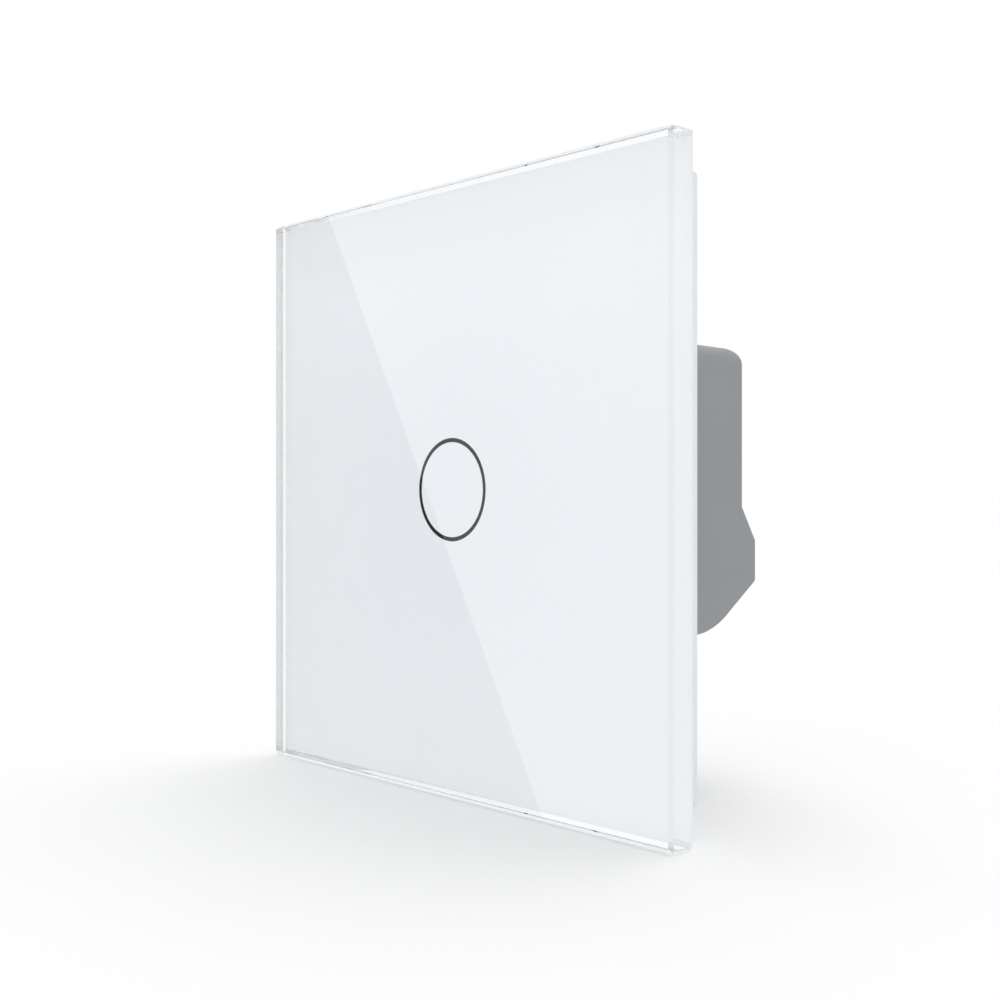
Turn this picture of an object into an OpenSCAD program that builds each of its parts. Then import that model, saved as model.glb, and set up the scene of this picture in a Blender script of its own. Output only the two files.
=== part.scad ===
// Touch light switch for a round wall box: a glass front panel that clips onto a wall frame,
// a touch board with a lit ring behind the glass, and a rear housing with a relay and screw terminals.
// X is to the right, Y goes into the wall and Z is up. The origin is on the wall plane, behind the
// middle of the glass. All sizes are in millimetres.

/* [Glass panel] */
// Side of the square glass
panel_size = 80; // [78:0.5:86]
// Thickness of the glass
glass_t = 4; // [3:0.25:6]
// Bevel ground on every edge of the glass
glass_chamfer = 0.45; // [0.2:0.05:0.8]
// Radius of the glass's corners on its front and back faces
glass_face_r = 0.2; // [0.1:0.05:1]
// Thickness of the print on the back of the glass
print_t = 0.1; // [0.06:0.02:0.2]
// Outer diameter of the touch ring
ring_d = 13.6; // [12:0.2:15]
// Width of the touch ring's line
ring_line = 0.55; // [0.4:0.05:0.9]

/* [Panel carrier] */
// Side of the square plastic carrier that is stuck to the glass
carrier_size = 73.5; // [72:0.5:76]
// Depth from the back of the glass to the wall
carrier_depth = 4.3; // [4.2:0.1:5.2]
// Thickness of the carrier's rim
carrier_wall = 1.6; // [1.2:0.1:2]
// Corner radius of the carrier
carrier_r = 1; // [0.6:0.1:2]
// Width of the flange that is stuck to the glass
flange_w = 5; // [4:0.25:6]
// Thickness of that flange
flange_t = 0.9; // [0.7:0.05:1]
// Width of the adhesive tape
tape_w = 3; // [2:0.25:3.5]
// Thickness of the adhesive tape
tape_t = 0.3; // [0.2:0.05:0.4]
// Width of a snap hook
hook_w = 6; // [4:0.5:8]
// Thickness of a snap hook
hook_t = 1; // [0.8:0.05:1.1]
// Reach of a hook's barb under its ledge
hook_bite = 0.8; // [0.5:0.05:1]
// Distance of each hook from the middle of its side
hook_offset = 22; // [16:0.5:25]
// Width of the notch for prying the panel off
pry_w = 8; // [5:0.5:12]

/* [Mounting frame] */
// Thickness of the wall frame
frame_t = 2.4; // [2.2:0.1:2.6]
// Gap between the frame and the carrier around it
frame_gap = 0.3; // [0.2:0.05:0.5]
// Distance between the two wall screws
screw_spacing = 60; // [59:0.25:61]
// Length of a wall screw slot, end to end
slot_len = 7.6; // [6:0.2:8]
// Width of a wall screw slot
slot_w = 3.6; // [3.2:0.1:4.2]
// Width of the pocket around a slot, for the screw's head
pocket_w = 7.4; // [6.4:0.2:8]
// Depth of that pocket
pocket_depth = 1.2; // [0.8:0.1:1.4]
// Depth of the recess that locates the housing's rim
recess_d = 0.8; // [0.6:0.1:1]

/* [Touch module] */
// Border of the touch cover around its screw heads
cover_margin = 0.4; // [0.3:0.05:0.8]
// Thickness of the touch cover's front wall
cover_t = 1; // [0.8:0.05:1.1]
// Width of the touch board
touch_w = 33; // [30:0.5:34]
// Height of the touch board
touch_h = 25; // [23:0.5:26]
// Thickness of the touch board
touch_t = 1.2; // [1:0.1:1.6]
// Wire diameter of the touch spring
spring_wire = 0.5; // [0.4:0.05:0.6]
// Turns of the touch spring
spring_turns = 2.5; // [2:0.5:3]

/* [Rear housing] */
// Width of the rear housing at its rim
housing_w = 49; // [47:0.25:50]
// Height of the rear housing at its rim
housing_h = 38.75; // [37.5:0.25:42]
// Depth of the upper part of the housing behind the wall plane
housing_d = 23.9; // [23.4:0.1:27]
// Wall thickness of the housing
wall = 1.6; // [1.3:0.05:1.8]
// Corner radius of the housing at its rim
housing_r = 2.8; // [2.6:0.1:4]
// Moulding draft of the housing's sides, in degrees
draft = 1.2; // [0.6:0.1:1.4]
// Radius of the housing's rounded top edge at the back
top_edge_r = 2.2; // [1:0.1:3]
// Extra depth of the terminal hump behind the upper part
hump_rise = 2.85; // [2.4:0.05:3.4]
// Height of the hump's flat back
hump_flat = 5.4; // [5.2:0.1:6]
// Height taken by the slope above the hump
hump_slope = 4.5; // [3:0.25:6]
// Slope of the wire entry face from the horizontal, in degrees
entry_slope = 35; // [32:1:42]
// Radius of a wire entry
entry_r = 1.9; // [1.6:0.05:2.2]
// Radius of a screwdriver hole
driver_r = 2.1; // [2:0.05:2.3]

/* [Terminals] */
// Height of the terminal screws, from the middle of the panel
terminal_z = -9.5; // [-10.2:0.1:-9]
// Distance between terminals
terminal_pitch = 9.5; // [9.3:0.1:10.5]
// Radius of a terminal screw's shank
screw_r = 1.5; // [1.25:0.05:1.6]
// Radius of a terminal screw's head
head_r = 1.85; // [1.75:0.05:1.95]
// Height of a terminal screw's head
head_h = 2; // [1.6:0.1:2.2]
// Thickness of a clamp plate
clamp_t = 1; // [0.8:0.1:1.2]
// Side of a square clamp plate
clamp_w = 5.8; // [5:0.1:6]
// Room for a wire under the clamp plate
wire_gap = 2.6; // [2.2:0.1:2.8]
// Height of a brass terminal
brass_h = 7.1; // [6.6:0.1:7.4]
// Side of a square brass terminal
brass_w = 6.4; // [6:0.1:6.6]

/* [Power board] */
// Thickness of the power board
power_t = 1.6; // [1.2:0.1:1.8]
// Length of the relay
relay_l = 20; // [19:0.5:22]
// Width of the relay
relay_w = 13; // [12.5:0.25:14]
// Radius of the relay's winding
coil_r = 3.2; // [2.8:0.05:3.4]
// Closing angle of the relay's armature, in degrees
armature_swing = 5; // [4:0.25:5.5]
// Diameter of the electrolytic capacitor
can_d = 6.3; // [5:0.1:8.2]
// Height of the film capacitor and the other parts in front of the power board
parts_h = 7; // [6:0.25:8.2]

/* [Hidden] */
$fn = 48;

// Clearances between pieces
fit_gap = 0.15;
slide_gap = 0.05;
cover_gap = 0.2;
head_gap = 0.25;
board_gap = 0.4;
board_r = 1;
part_gap = 0.3;
// How far a cut runs past the face that it opens
over = 1;

// Planes across the depth, from the glass back to the terminals
y_glass_back = -carrier_depth;
y_glass_front = y_glass_back - glass_t;
y_print = y_glass_back + print_t;
y_flange = y_print + flange_t;
y_cover = y_print + cover_gap;
y_cover_in = y_cover + cover_t;
y_frame = -frame_t;
y_rim = -recess_d;
board_drop = 0.6;
y_touch = y_frame + board_drop;
y_touch_back = y_touch + touch_t;
y_back_in = housing_d - wall;
y_hump = housing_d + hump_rise;
y_hump_in = y_hump - wall;
y_head = y_hump_in - head_gap;
y_head_seat = y_head - head_h;
y_clamp = y_head_seat - clamp_t;
y_brass = y_clamp - wire_gap;
cell_floor = 1.2;
y_cell = y_brass - brass_h;
y_power_back = y_cell - cell_floor;
y_power = y_power_back - power_t;
y_parts = y_power - parts_h;

// Housing: the sides lean in towards the back by the draft
function taper(y) = (y - y_rim) * tan(draft);
hump_top = terminal_z + hump_flat / 2;
hump_bottom = terminal_z - hump_flat / 2;
entry_dir = [sin(entry_slope), -cos(entry_slope)];
wire_mouth_z = terminal_z - brass_w / 2;
wire_y = (y_brass + y_clamp) / 2;
boss_r = 2.6;
boss_inset = 1.9;
boss_x = housing_w / 2 - wall - boss_inset;
boss_z = housing_h / 2 - wall - boss_inset;
housing_screw_r = 1.1;
housing_screw_head_r = 2.2;
housing_screw_l = 11;
cross_w = 0.6;
cross_depth = 0.7;
cross_l = 2.6;
board_screw_head_t = 1.2;
board_screw_head_r = 1.8;
post_r = 2;
post_wall_gap = 1.2;
post_x = housing_w / 2 - wall - post_r - post_wall_gap;
post_z = 3;
board_screw_r = 0.9;
board_screw_l = 6;
label_w = 26;
label_h = 12;
label_depth = 0.3;
label_z = (housing_h / 2 - top_edge_r + hump_top + hump_slope) / 2;
edge_r = 0.5;
// Turn of a terminal hole's start line about its axis, away from the middle of the terminal
hole_turn = 20;

// Panel carrier and frame
carrier_in = carrier_size - 2 * carrier_wall;
carrier_edge = 0.15;
flange_in = carrier_in - 2 * flange_w;
tape_mid = carrier_in - flange_w;
hook_flex = 0.35;
hook_face = carrier_in / 2 - hook_flex - hook_t;
frame_size = carrier_in - 2 * frame_gap;
frame_r = 1.2;
ledge_t = 1.2;
notch_side = 0.5;
pry_depth = 1.4;
window_margin = 1.4;
window_w = touch_w + 2 * window_margin;
window_h = touch_h + 2 * window_margin;
window_r = 1.5;

// Touch module
cover_w = 2 * (boss_x + housing_screw_head_r + cover_margin);
cover_h = 2 * (boss_z + housing_screw_head_r + cover_margin);
cover_r = 2.5;
stake_inset = 2;
stake_x = touch_w / 2 - stake_inset;
stake_z = touch_h / 2 - stake_inset;
stake_r = 0.8;
stake_post_r = 1.4;
stake_head_t = 0.5;
guide_outside = 0.5;
guide_inside = 0.9;
guide_collar = 1.2;
guide_r = ring_d / 2 + guide_outside;
guide_in_r = ring_d / 2 - ring_line - guide_inside;
guide_collar_r = guide_r + guide_collar;
guide_mid_r = (guide_r + guide_in_r) / 2;
led_h = 0.7;
led_l = 1.6;
led_w = 0.8;
led_air = 0.05;
spring_clear = 0.45;
spring_step = 0.85;
spring_base_r = guide_in_r - spring_clear - spring_wire / 2;
spring_top_r = spring_base_r - spring_step * spring_turns;
spring_rings = 24;
spring_sides = 6;

chip = [5, 1, 4];
chip_pos = [-12, -5];
passive = [1, 0.5, 2];
passive_count = 4;
passive_step = 2.4;
passive_pos = [-3, -4];

// Header that joins the two boards
header_z = 8;
header_pitch = 2;
header_cols = 5;
header_rows = 2;
header_w = header_cols * header_pitch;
header_d = header_rows * header_pitch;
strip_t = 2;
pin_w = 0.5;
socket_gap = 0.3;
pin_tip_gap = 1.5;
y_socket = y_touch_back + strip_t + socket_gap;

// Terminals
terminal_xs = [-terminal_pitch, 0, terminal_pitch];
cell_w = brass_w + 2 * part_gap;
block_w = len(terminal_xs) * terminal_pitch - part_gap;
block_side = 1.2;
block_top_z = terminal_z + brass_w / 2 + part_gap + block_side;
block_low_z = terminal_z - brass_w / 2 - part_gap - block_side;
tail_r = 0.5;
tail_inset = 1.2;
tail_z = brass_w / 2 - tail_inset;
tail_end = 1;
mouth_l = 4;
mouth_gap = 0.4;
mouth_w = 2 * (entry_r + mouth_gap);
thread_floor = 0.4;
clamp_rest = 0.2;
screw_l = clamp_t + brass_h + clamp_rest - thread_floor - part_gap;
driver_slot_w = 0.7;
driver_slot_depth = 1;

// Relay, measured from the back of the power board
relay_z = 7.4;
contact_room = 4.8;
relay_wall = 0.8;
relay_base_t = 1.2;
yoke_t = 0.8;
yoke_w = 6.4;
flange_extra = 0.2;
bobbin_r = coil_r + flange_extra;
core_r = 1.5;
bobbin_wall = 0.4;
bobbin_flange_t = 0.6;
coil_axis = y_power_back + relay_base_t + yoke_t + bobbin_r + fit_gap;
contact_r = 0.8;
rivet_r = 0.72;
contact_clear = 0.5;
contact_y = coil_axis + core_r + contact_clear + contact_r;
leaf_top = contact_y + contact_r;
relay_h = leaf_top + fit_gap + relay_wall - y_power_back;
yoke_front = relay_l / 2 - contact_room;
yoke_back = -(relay_l / 2 - relay_wall - yoke_t - board_gap);
armature_t = 0.8;
armature_x = yoke_front + fit_gap + armature_t / 2;
armature_w = yoke_w;
pivot_rise = 0.7;
pivot_y = y_power_back + relay_base_t + pivot_rise;
pole_x = armature_x - armature_t / 2 - (coil_axis + core_r - pivot_y) * tan(armature_swing) - slide_gap;
pivot_r = 0.4;
ear_t = 1;
leaf_t = 0.2;
leaf_w = 3;
leaf_start = 1;
strip_w = 1.5;
strip_th = 0.3;
contact_stand = 0.6;
contact_face = armature_x + armature_t / 2 - contact_stand;
fixed_face = contact_face - (leaf_top - pivot_y) * tan(armature_swing) - slide_gap;
coil_back = yoke_back + fit_gap + bobbin_flange_t;
coil_front = fixed_face - contact_r - strip_th - part_gap - bobbin_flange_t;
relay_pin_r = 0.4;
relay_pin_inset = 1.7;
relay_pin_x = relay_l / 2 - relay_pin_inset;
relay_pin_z = relay_w / 2 - relay_pin_inset;

// Parts in front of the power board, between the screws that hold it
side_room = 0.8;
parts_side = post_x - board_screw_head_r - side_room;
film_w = 6;
film_l = 2 * (relay_pin_z - relay_pin_r - part_gap);
film_x = film_w / 2 - parts_side;
film_z = relay_z;
can_l = 11.5;
can_x = parts_side - can_d / 2;
can_z = 8.5;
seal_t = 0.8;
seal_inset = 0.5;
varistor_t = 3;
varistor_x = parts_h / 2 - parts_side;
varistor_z = -3.2;
trafo_z = -1;
trafo_w = 11;
trafo_l = 6;
trafo_leg = 2.2;
trafo_foot = 1;
fuse_body_gap = 0.1;
fuse_r = 1.2;
fuse_l = 7;
fuse_cap_l = 1.4;
fuse_x = parts_side - fuse_l / 2;
fuse_z = -3;
rectifier_x = terminal_pitch / 2;
rectifier_z = terminal_z;
rectifier_w = 5;
rectifier_t = 1.5;

// Extrudes a shape drawn in X and Z, from y0 to y1
module along_y(y0, y1) {
    translate([0, y1, 0]) rotate([90, 0, 0]) linear_extrude(y1 - y0) children();
}

// Extrudes a shape drawn in Y and Z, from x0 to x1
module along_x(x0, x1) {
    translate([x0, 0, 0]) rotate([90, 0, 90]) linear_extrude(x1 - x0) children();
}

// Round bar along Y
module rod_y(x, z, r, y0, y1) {
    translate([x, y1, z]) rotate([90, 0, 0]) cylinder(r = r, h = y1 - y0);
}

// Cone along Y, of radius r0 at y0 and r1 at y1
module cone_y(x, z, r0, r1, y0, y1) {
    translate([x, y1, z]) rotate([90, 0, 0]) cylinder(r1 = r1, r2 = r0, h = y1 - y0);
}

// Round bar along X
module rod_x(y, z, r, x0, x1) {
    translate([x0, y, z]) rotate([0, 90, 0]) cylinder(r = r, h = x1 - x0);
}

// Box given by its two corners
module box(low, high) {
    translate(low) cube(high - low);
}

module rounded_rect(w, h, r) {
    square([w - 2 * r, h], center = true);
    square([w, h - 2 * r], center = true);
    for (x = [-1, 1], z = [-1, 1]) translate([x * (w / 2 - r), z * (h / 2 - r)]) circle(r);
}

// Block with rounded corners, w by h with radius r at y0, whose sides move in by lean at y1
module leaning_block(w, h, r, y0, y1, lean) {
    xc = w / 2 - r;
    zc = h / 2 - r;
    along_x(-xc, xc) polygon([[y0, -h / 2], [y1, lean - h / 2], [y1, h / 2 - lean], [y0, h / 2]]);
    translate([0, 0, -zc]) linear_extrude(2 * zc)
        polygon([[-w / 2, y0], [w / 2, y0], [w / 2 - lean, y1], [lean - w / 2, y1]]);
    for (x = [-xc, xc], z = [-zc, zc]) cone_y(x, z, r, r - lean, y0, y1);
}

// Square plate with rounded corners and a bevel on its front edge, its back edge or both
module bevelled_plate(size, r, y0, y1, bevel0, bevel1) {
    along_y(y0 + bevel0, y1 - bevel1) rounded_rect(size, size, r);
    if (bevel1 > 0) leaning_block(size, size, r, y1 - bevel1, y1, bevel1);
    if (bevel0 > 0) mirror([0, 1, 0]) leaning_block(size, size, r, -y0 - bevel0, -y0, bevel0);
}

// Square ring between two sizes
module square_ring(outer, inner, r, y0, y1) {
    along_y(y0, y1) difference() {
        rounded_rect(outer, outer, r);
        square(inner, center = true);
    }
}

// Points of an outline whose corner i is rounded to radius r[i]
function corner_arc(a, b, c, r) =
    let (u = (a - b) / norm(a - b), v = (c - b) / norm(c - b))
    let (half = acos(u * v) / 2, reach = r / tan(half))
    let (mid = b + (u + v) / norm(u + v) * r / sin(half), start = b + u * reach - mid)
    let (turn = sign(u[0] * v[1] - u[1] * v[0]) * (180 - 2 * half), steps = 8)
    [for (i = [0:steps]) let (t = -turn * i / steps)
        mid + [start[0] * cos(t) - start[1] * sin(t), start[0] * sin(t) + start[1] * cos(t)]];
function rounded_outline(pts, r) = let (n = len(pts))
    [for (i = [0:n - 1]) each r[i] > 0
        ? corner_arc(pts[(i + n - 1) % n], pts[i], pts[(i + 1) % n], r[i]) : [pts[i]]];

// Cross-shaped cut for a screwdriver
module cross_recess(l, w, y0, y1) {
    along_y(y0, y1) {
        square([l, w], center = true);
        square([w, l], center = true);
    }
}

module at_corners(x, z) {
    for (sx = [-1, 1], sz = [-1, 1]) translate([sx * x, 0, sz * z]) children();
}

module glass_panel() {
    color("azure", 0.4)
        bevelled_plate(panel_size, glass_chamfer + glass_face_r, y_glass_front, y_glass_back,
            glass_chamfer, glass_chamfer);
}

// White print on the flat back of the glass, bare where the ring shows
module backing_print() {
    side = panel_size - 2 * glass_chamfer;
    color("white") along_y(y_glass_back, y_print) {
        difference() {
            rounded_rect(side, side, glass_face_r);
            circle(ring_d / 2);
        }
        circle(ring_d / 2 - ring_line);
    }
}

// Smoked ink that fills the ring in the print
module ring_window() {
    color("#15181b") along_y(y_glass_back, y_print) difference() {
        circle(ring_d / 2);
        circle(ring_d / 2 - ring_line);
    }
}

module adhesive_tape() {
    color("gainsboro")
        square_ring(tape_mid + tape_w, tape_mid - tape_w, carrier_r, y_print, y_print + tape_t);
}

// Carrier stuck to the glass: a rim that reaches the wall and a flange with a groove for the tape
module panel_carrier() {
    color("whitesmoke") difference() {
        bevelled_plate(carrier_size, carrier_r, y_print, 0, 0, carrier_edge);
        along_y(y_flange, over) square(carrier_in, center = true);
        along_y(y_print - over, over) square(flange_in, center = true);
        square_ring(tape_mid + tape_w, tape_mid - tape_w, carrier_r, y_print - over, y_print + tape_t);
        box([-pry_w / 2, -pry_depth, -carrier_size], [pry_w / 2, over, -carrier_in / 2 + over]);
    }
}

// One hook at the top edge, with its barb under the frame's ledge
module snap_hook() {
    barb_y = y_frame + ledge_t + fit_gap;
    barb_t = -barb_y - fit_gap;
    along_x(-hook_w / 2, hook_w / 2) polygon([
        [y_flange, hook_face], [barb_y, hook_face], [barb_y, hook_face - hook_bite],
        [barb_y + barb_t / 3, hook_face - hook_bite], [barb_y + barb_t, hook_face + hook_t / 3],
        [barb_y + barb_t, hook_face + hook_t], [y_flange, hook_face + hook_t]]);
}

module snap_hooks() {
    color("white") for (side = [0, 1], x = [-1, 1]) mirror([0, 0, side])
        translate([x * hook_offset, 0, 0]) snap_hook();
}

// Slot along X with round ends
module slot(x, len, w, y0, y1) {
    along_y(y0, y1) translate([x, 0]) {
        square([len - w, w], center = true);
        for (s = [-1, 1]) translate([s * (len - w) / 2, 0]) circle(w / 2);
    }
}

// Pocket for a wall screw's head, open to the side of the frame
module head_pocket() {
    inner_end = screw_spacing / 2 - (slot_len - slot_w) / 2;
    translate([inner_end, 0]) circle(pocket_w / 2);
    translate([inner_end, -pocket_w / 2]) square([frame_size, pocket_w]);
}

module mounting_frame() {
    notch_w = hook_w + 2 * notch_side;
    ledge_z = hook_face - fit_gap;
    color("whitesmoke") difference() {
        bevelled_plate(frame_size, frame_r, y_frame, 0, carrier_edge, 0);
        along_y(y_frame - over, over) rounded_rect(window_w, window_h, window_r);
        along_y(y_rim, over)
            rounded_rect(housing_w + 2 * fit_gap, housing_h + 2 * fit_gap, housing_r + fit_gap);
        for (side = [0, 1]) mirror([side, 0, 0]) {
            slot(screw_spacing / 2, slot_len, slot_w, y_frame - over, over);
            along_y(y_frame - over, y_frame + pocket_depth) head_pocket();
        }
        for (side = [0, 1], x = [-1, 1]) mirror([0, 0, side]) translate([x * hook_offset, 0, 0]) {
            box([-notch_w / 2, y_frame - over, ledge_z], [notch_w / 2, over, frame_size]);
            box([-notch_w / 2, y_frame + ledge_t, ledge_z - hook_bite - fit_gap],
                [notch_w / 2, over, frame_size]);
        }
        at_corners(boss_x, boss_z) rod_y(0, 0, housing_screw_r + fit_gap, y_frame - over, over);
    }
}

// Countersunk head and shank of a housing screw, grown by gap for its seat
module housing_screw_body(gap) {
    head_top = y_cover + fit_gap;
    head_end = head_top + housing_screw_head_r - housing_screw_r;
    cone_y(0, 0, housing_screw_head_r + gap, housing_screw_r + gap, head_top, head_end);
    rod_y(0, 0, housing_screw_r + gap, head_end, y_cover + housing_screw_l);
}

// Cover of the touch board: a tray on the frame, with stakes that hold the board
module touch_cover() {
    color("white") difference() {
        along_y(y_cover, y_frame) rounded_rect(cover_w, cover_h, cover_r);
        along_y(y_cover_in, over) difference() {
            rounded_rect(window_w, window_h, window_r);
            for (x = [-1, 1], z = [-1, 1]) translate([x * stake_x, z * stake_z]) circle(stake_post_r);
        }
        rod_y(0, 0, guide_r + slide_gap, y_cover - over, over);
        at_corners(boss_x, boss_z) {
            housing_screw_body(slide_gap);
            rod_y(0, 0, housing_screw_head_r + slide_gap, y_cover - over, y_cover + fit_gap);
        }
    }
    color("white") at_corners(stake_x, stake_z) {
        rod_y(0, 0, stake_post_r, y_frame, y_touch);
        rod_y(0, 0, stake_r, y_touch, y_touch_back);
        cone_y(0, 0, stake_post_r, stake_r, y_touch_back, y_touch_back + stake_head_t);
    }
}

// Milky ring that carries light from the board to the ring in the print
module light_guide() {
    guide_back = y_touch - led_h - led_air;
    color("ivory") {
        difference() {
            union() {
                rod_y(0, 0, guide_r, y_cover, guide_back);
                rod_y(0, 0, guide_collar_r, y_cover_in, guide_back);
            }
            rod_y(0, 0, guide_in_r, y_cover - over, 0);
        }
        for (a = [45:90:315])
            rod_y(guide_mid_r * cos(a), guide_mid_r * sin(a), led_w / 2, guide_back, y_touch);
    }
}

// Cone-shaped touch spring between the board and the print
function spring_point(t) = let (h = y_print + spring_wire / 2 + slide_gap)
    [lerp(spring_base_r, spring_top_r, t) * cos(360 * spring_turns * t),
     lerp(y_touch - spring_wire / 2, h, t),
     lerp(spring_base_r, spring_top_r, t) * sin(360 * spring_turns * t)];
function lerp(a, b, t) = a + (b - a) * t;
function spring_ring(t) =
    let (p = spring_point(t), a = 360 * spring_turns * t, out = [cos(a), 0, sin(a)])
    [for (i = [0:spring_sides - 1]) let (q = 360 * i / spring_sides)
        p + spring_wire / 2 * (out * cos(q) + [0, sin(q), 0])];

module touch_spring() {
    n = round(spring_turns * spring_rings);
    s = spring_sides;
    last = n * s;
    color("silver") polyhedron(
        points = [for (i = [0:n]) each spring_ring(i / n)],
        faces = [
            for (j = [1:s - 2]) [0, j, j + 1],
            for (j = [1:s - 2]) [last, last + j + 1, last + j],
            for (i = [0:n - 1], j = [0:s - 1], k = [0, 1]) let (a = i * s + j, b = i * s + (j + 1) % s)
                k == 0 ? [a, a + s, b] : [b, a + s, b + s]]);
    turn_step = norm([(spring_base_r - spring_top_r) / spring_turns, (y_touch - y_print) / spring_turns]);
    echo(least_gap_between_spring_turns = turn_step - spring_wire);
}

module touch_board() {
    color("seagreen") difference() {
        along_y(y_touch, y_touch_back) rounded_rect(touch_w, touch_h, board_r);
        at_corners(stake_x, stake_z) rod_y(0, 0, stake_r + slide_gap, y_touch - over, over);
    }
}

module indicator_leds() {
    color("lightskyblue") for (a = [0:90:270]) rotate([0, a, 0]) translate([guide_mid_r, 0, 0])
        box([-led_w / 2, y_touch - led_h, -led_l / 2], [led_w / 2, y_touch, led_l / 2]);
}

// Touch controller and a row of small parts on the back of the touch board
module touch_chips() {
    color("#222222") {
        translate([chip_pos[0], y_touch_back, chip_pos[1]]) cube(chip);
        for (i = [0:passive_count - 1])
            translate([passive_pos[0] + passive_step * i, y_touch_back, passive_pos[1]]) cube(passive);
    }
}

module header_positions() {
    for (c = [0:header_cols - 1], r = [0:header_rows - 1])
        translate([(c + 0.5) * header_pitch - header_w / 2, 0,
            header_z + (r + 0.5) * header_pitch - header_d / 2]) children();
}

module header_strip() {
    color("#1c1c1c") difference() {
        box([-header_w / 2, y_touch_back, header_z - header_d / 2],
            [header_w / 2, y_touch_back + strip_t, header_z + header_d / 2]);
        header_positions()
            box([-pin_w / 2, y_touch_back - over, -pin_w / 2], [pin_w / 2, y_power, pin_w / 2]);
    }
}

module header_pins() {
    color("gold") header_positions()
        box([-pin_w / 2, y_touch_back, -pin_w / 2], [pin_w / 2, y_power - pin_tip_gap, pin_w / 2]);
}

module header_socket() {
    hole = pin_w / 2 + slide_gap;
    color("#1c1c1c") difference() {
        box([-header_w / 2, y_socket, header_z - header_d / 2],
            [header_w / 2, y_power, header_z + header_d / 2]);
        header_positions()
            box([-hole, y_socket - over, -hole], [hole, y_power - pin_tip_gap + fit_gap, hole]);
    }
}

// Side view of the housing, grown inwards by inset: flat upper back, terminal hump and wire entry slope,
// which has its own inset
module housing_side(inset, entry_inset) {
    back = housing_d - inset;
    hump = y_hump - inset;
    top = housing_h / 2 - taper(housing_d) - inset;
    low = -housing_h / 2 - over;
    lower_bend = hump_bottom + (entry_inset - inset * sin(entry_slope)) / cos(entry_slope);
    run = (lower_bend - low) / tan(entry_slope);
    shift = inset * tan(atan(hump_rise / hump_slope) / 2);
    polygon(rounded_outline([
        [y_rim - over, low], [hump - run, low], [hump, lower_bend], [hump, hump_top - shift],
        [back, hump_top + hump_slope - shift], [back, top],
        [y_rim - over, top + (housing_d - y_rim + over) * tan(draft)]],
        [0, 0, edge_r, edge_r, edge_r, max(top_edge_r - inset, edge_r), 0]));
}

// Solid of the housing's outside or, with an inset, of what lies that far inside it
module housing_form(inset, entry_inset) {
    intersection() {
        leaning_block(housing_w - 2 * inset, housing_h - 2 * inset, housing_r - inset, y_rim,
            y_hump + over, taper(y_hump + over));
        along_x(-housing_w, housing_w) housing_side(inset, entry_inset);
    }
}

// Room inside the housing, cut square to the wire entries so that their wall is even
module housing_room() {
    span = 2 * (housing_w + housing_h);
    intersection() {
        housing_form(wall, 0);
        translate([0, y_hump, hump_bottom]) rotate([180 + entry_slope, 0, 0])
            translate([-span / 2, -span / 2, -span - wall]) cube(span);
    }
}

// Places a child on the wire entry face, facing out along its Z, at each terminal
module at_entries() {
    reach = (y_hump - wire_y) * entry_dir[0] + (hump_bottom - wire_mouth_z) * entry_dir[1];
    for (x = terminal_xs)
        translate([x, wire_y + reach * entry_dir[0], wire_mouth_z + reach * entry_dir[1]])
            rotate([180 + entry_slope, 0, 0]) children();
}

// Hole through the housing's wall at a terminal, along Z
module terminal_hole(r) {
    rotate([0, 0, hole_turn]) rotate_extrude() square([r, wall + 2 * over]);
}

// Grey housing: an open-fronted shell with screw bosses, posts for the power board and terminal holes
module rear_housing() {
    color("#8c8f93") difference() {
        union() {
            difference() {
                housing_form(0, 0);
                housing_room();
                along_y(y_rim - over, y_rim + over)
                    rounded_rect(housing_w - 2 * wall, housing_h - 2 * wall, housing_r - wall);
            }
            intersection() {
                housing_form(wall / 2, wall / 2);
                at_corners(boss_x, boss_z) rod_y(0, 0, boss_r, y_rim, y_hump);
            }
            for (x = [-1, 1]) rod_y(x * post_x, post_z, post_r, y_power_back, y_back_in + wall / 2);
        }
        at_corners(boss_x, boss_z)
            rod_y(0, 0, housing_screw_r + slide_gap / 2, y_rim - over, y_cover + housing_screw_l + over);
        for (x = [-1, 1])
            rod_y(x * post_x, post_z, board_screw_r + slide_gap / 2, y_power_back - over,
                y_power + board_screw_l + over);
        for (x = terminal_xs) translate([x, y_hump + over, terminal_z]) rotate([90, 0, 0])
            terminal_hole(driver_r);
        at_entries() translate([0, 0, -wall - over]) terminal_hole(entry_r);
        along_y(housing_d - label_depth, housing_d + over) translate([0, label_z])
            rounded_rect(label_w, label_h, edge_r);
    }
}

module housing_screws() {
    color("silver") at_corners(boss_x, boss_z) difference() {
        housing_screw_body(0);
        cross_recess(cross_l, cross_w, y_cover, y_cover + fit_gap + cross_depth);
    }
}

module power_board() {
    w = housing_w - 2 * (wall + taper(y_power_back) + board_gap);
    h = housing_h - 2 * (wall + taper(y_power_back) + board_gap);
    color("darkgreen") difference() {
        along_y(y_power, y_power_back) difference() {
            square([w, h], center = true);
            for (x = [-1, 1], z = [-1, 1]) translate([x * boss_x, z * boss_z]) circle(boss_r + board_gap);
        }
        for (x = [-1, 1])
            rod_y(x * post_x, post_z, board_screw_r + fit_gap, y_power - over, y_power_back + over);
        tails(slide_gap, y_power - over, y_power_back + over);
        relay_pin_rods(slide_gap, y_power - over, y_power_back + over);
    }
}

module board_screws() {
    color("silver") for (x = [-1, 1]) difference() {
        union() {
            rod_y(x * post_x, post_z, board_screw_head_r, y_power - board_screw_head_t, y_power);
            rod_y(x * post_x, post_z, board_screw_r, y_power, y_power + board_screw_l);
        }
        translate([x * post_x, 0, post_z])
            cross_recess(cross_l, cross_w, y_power - 2 * board_screw_head_t,
                y_power - board_screw_head_t / 2);
    }
}

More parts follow.
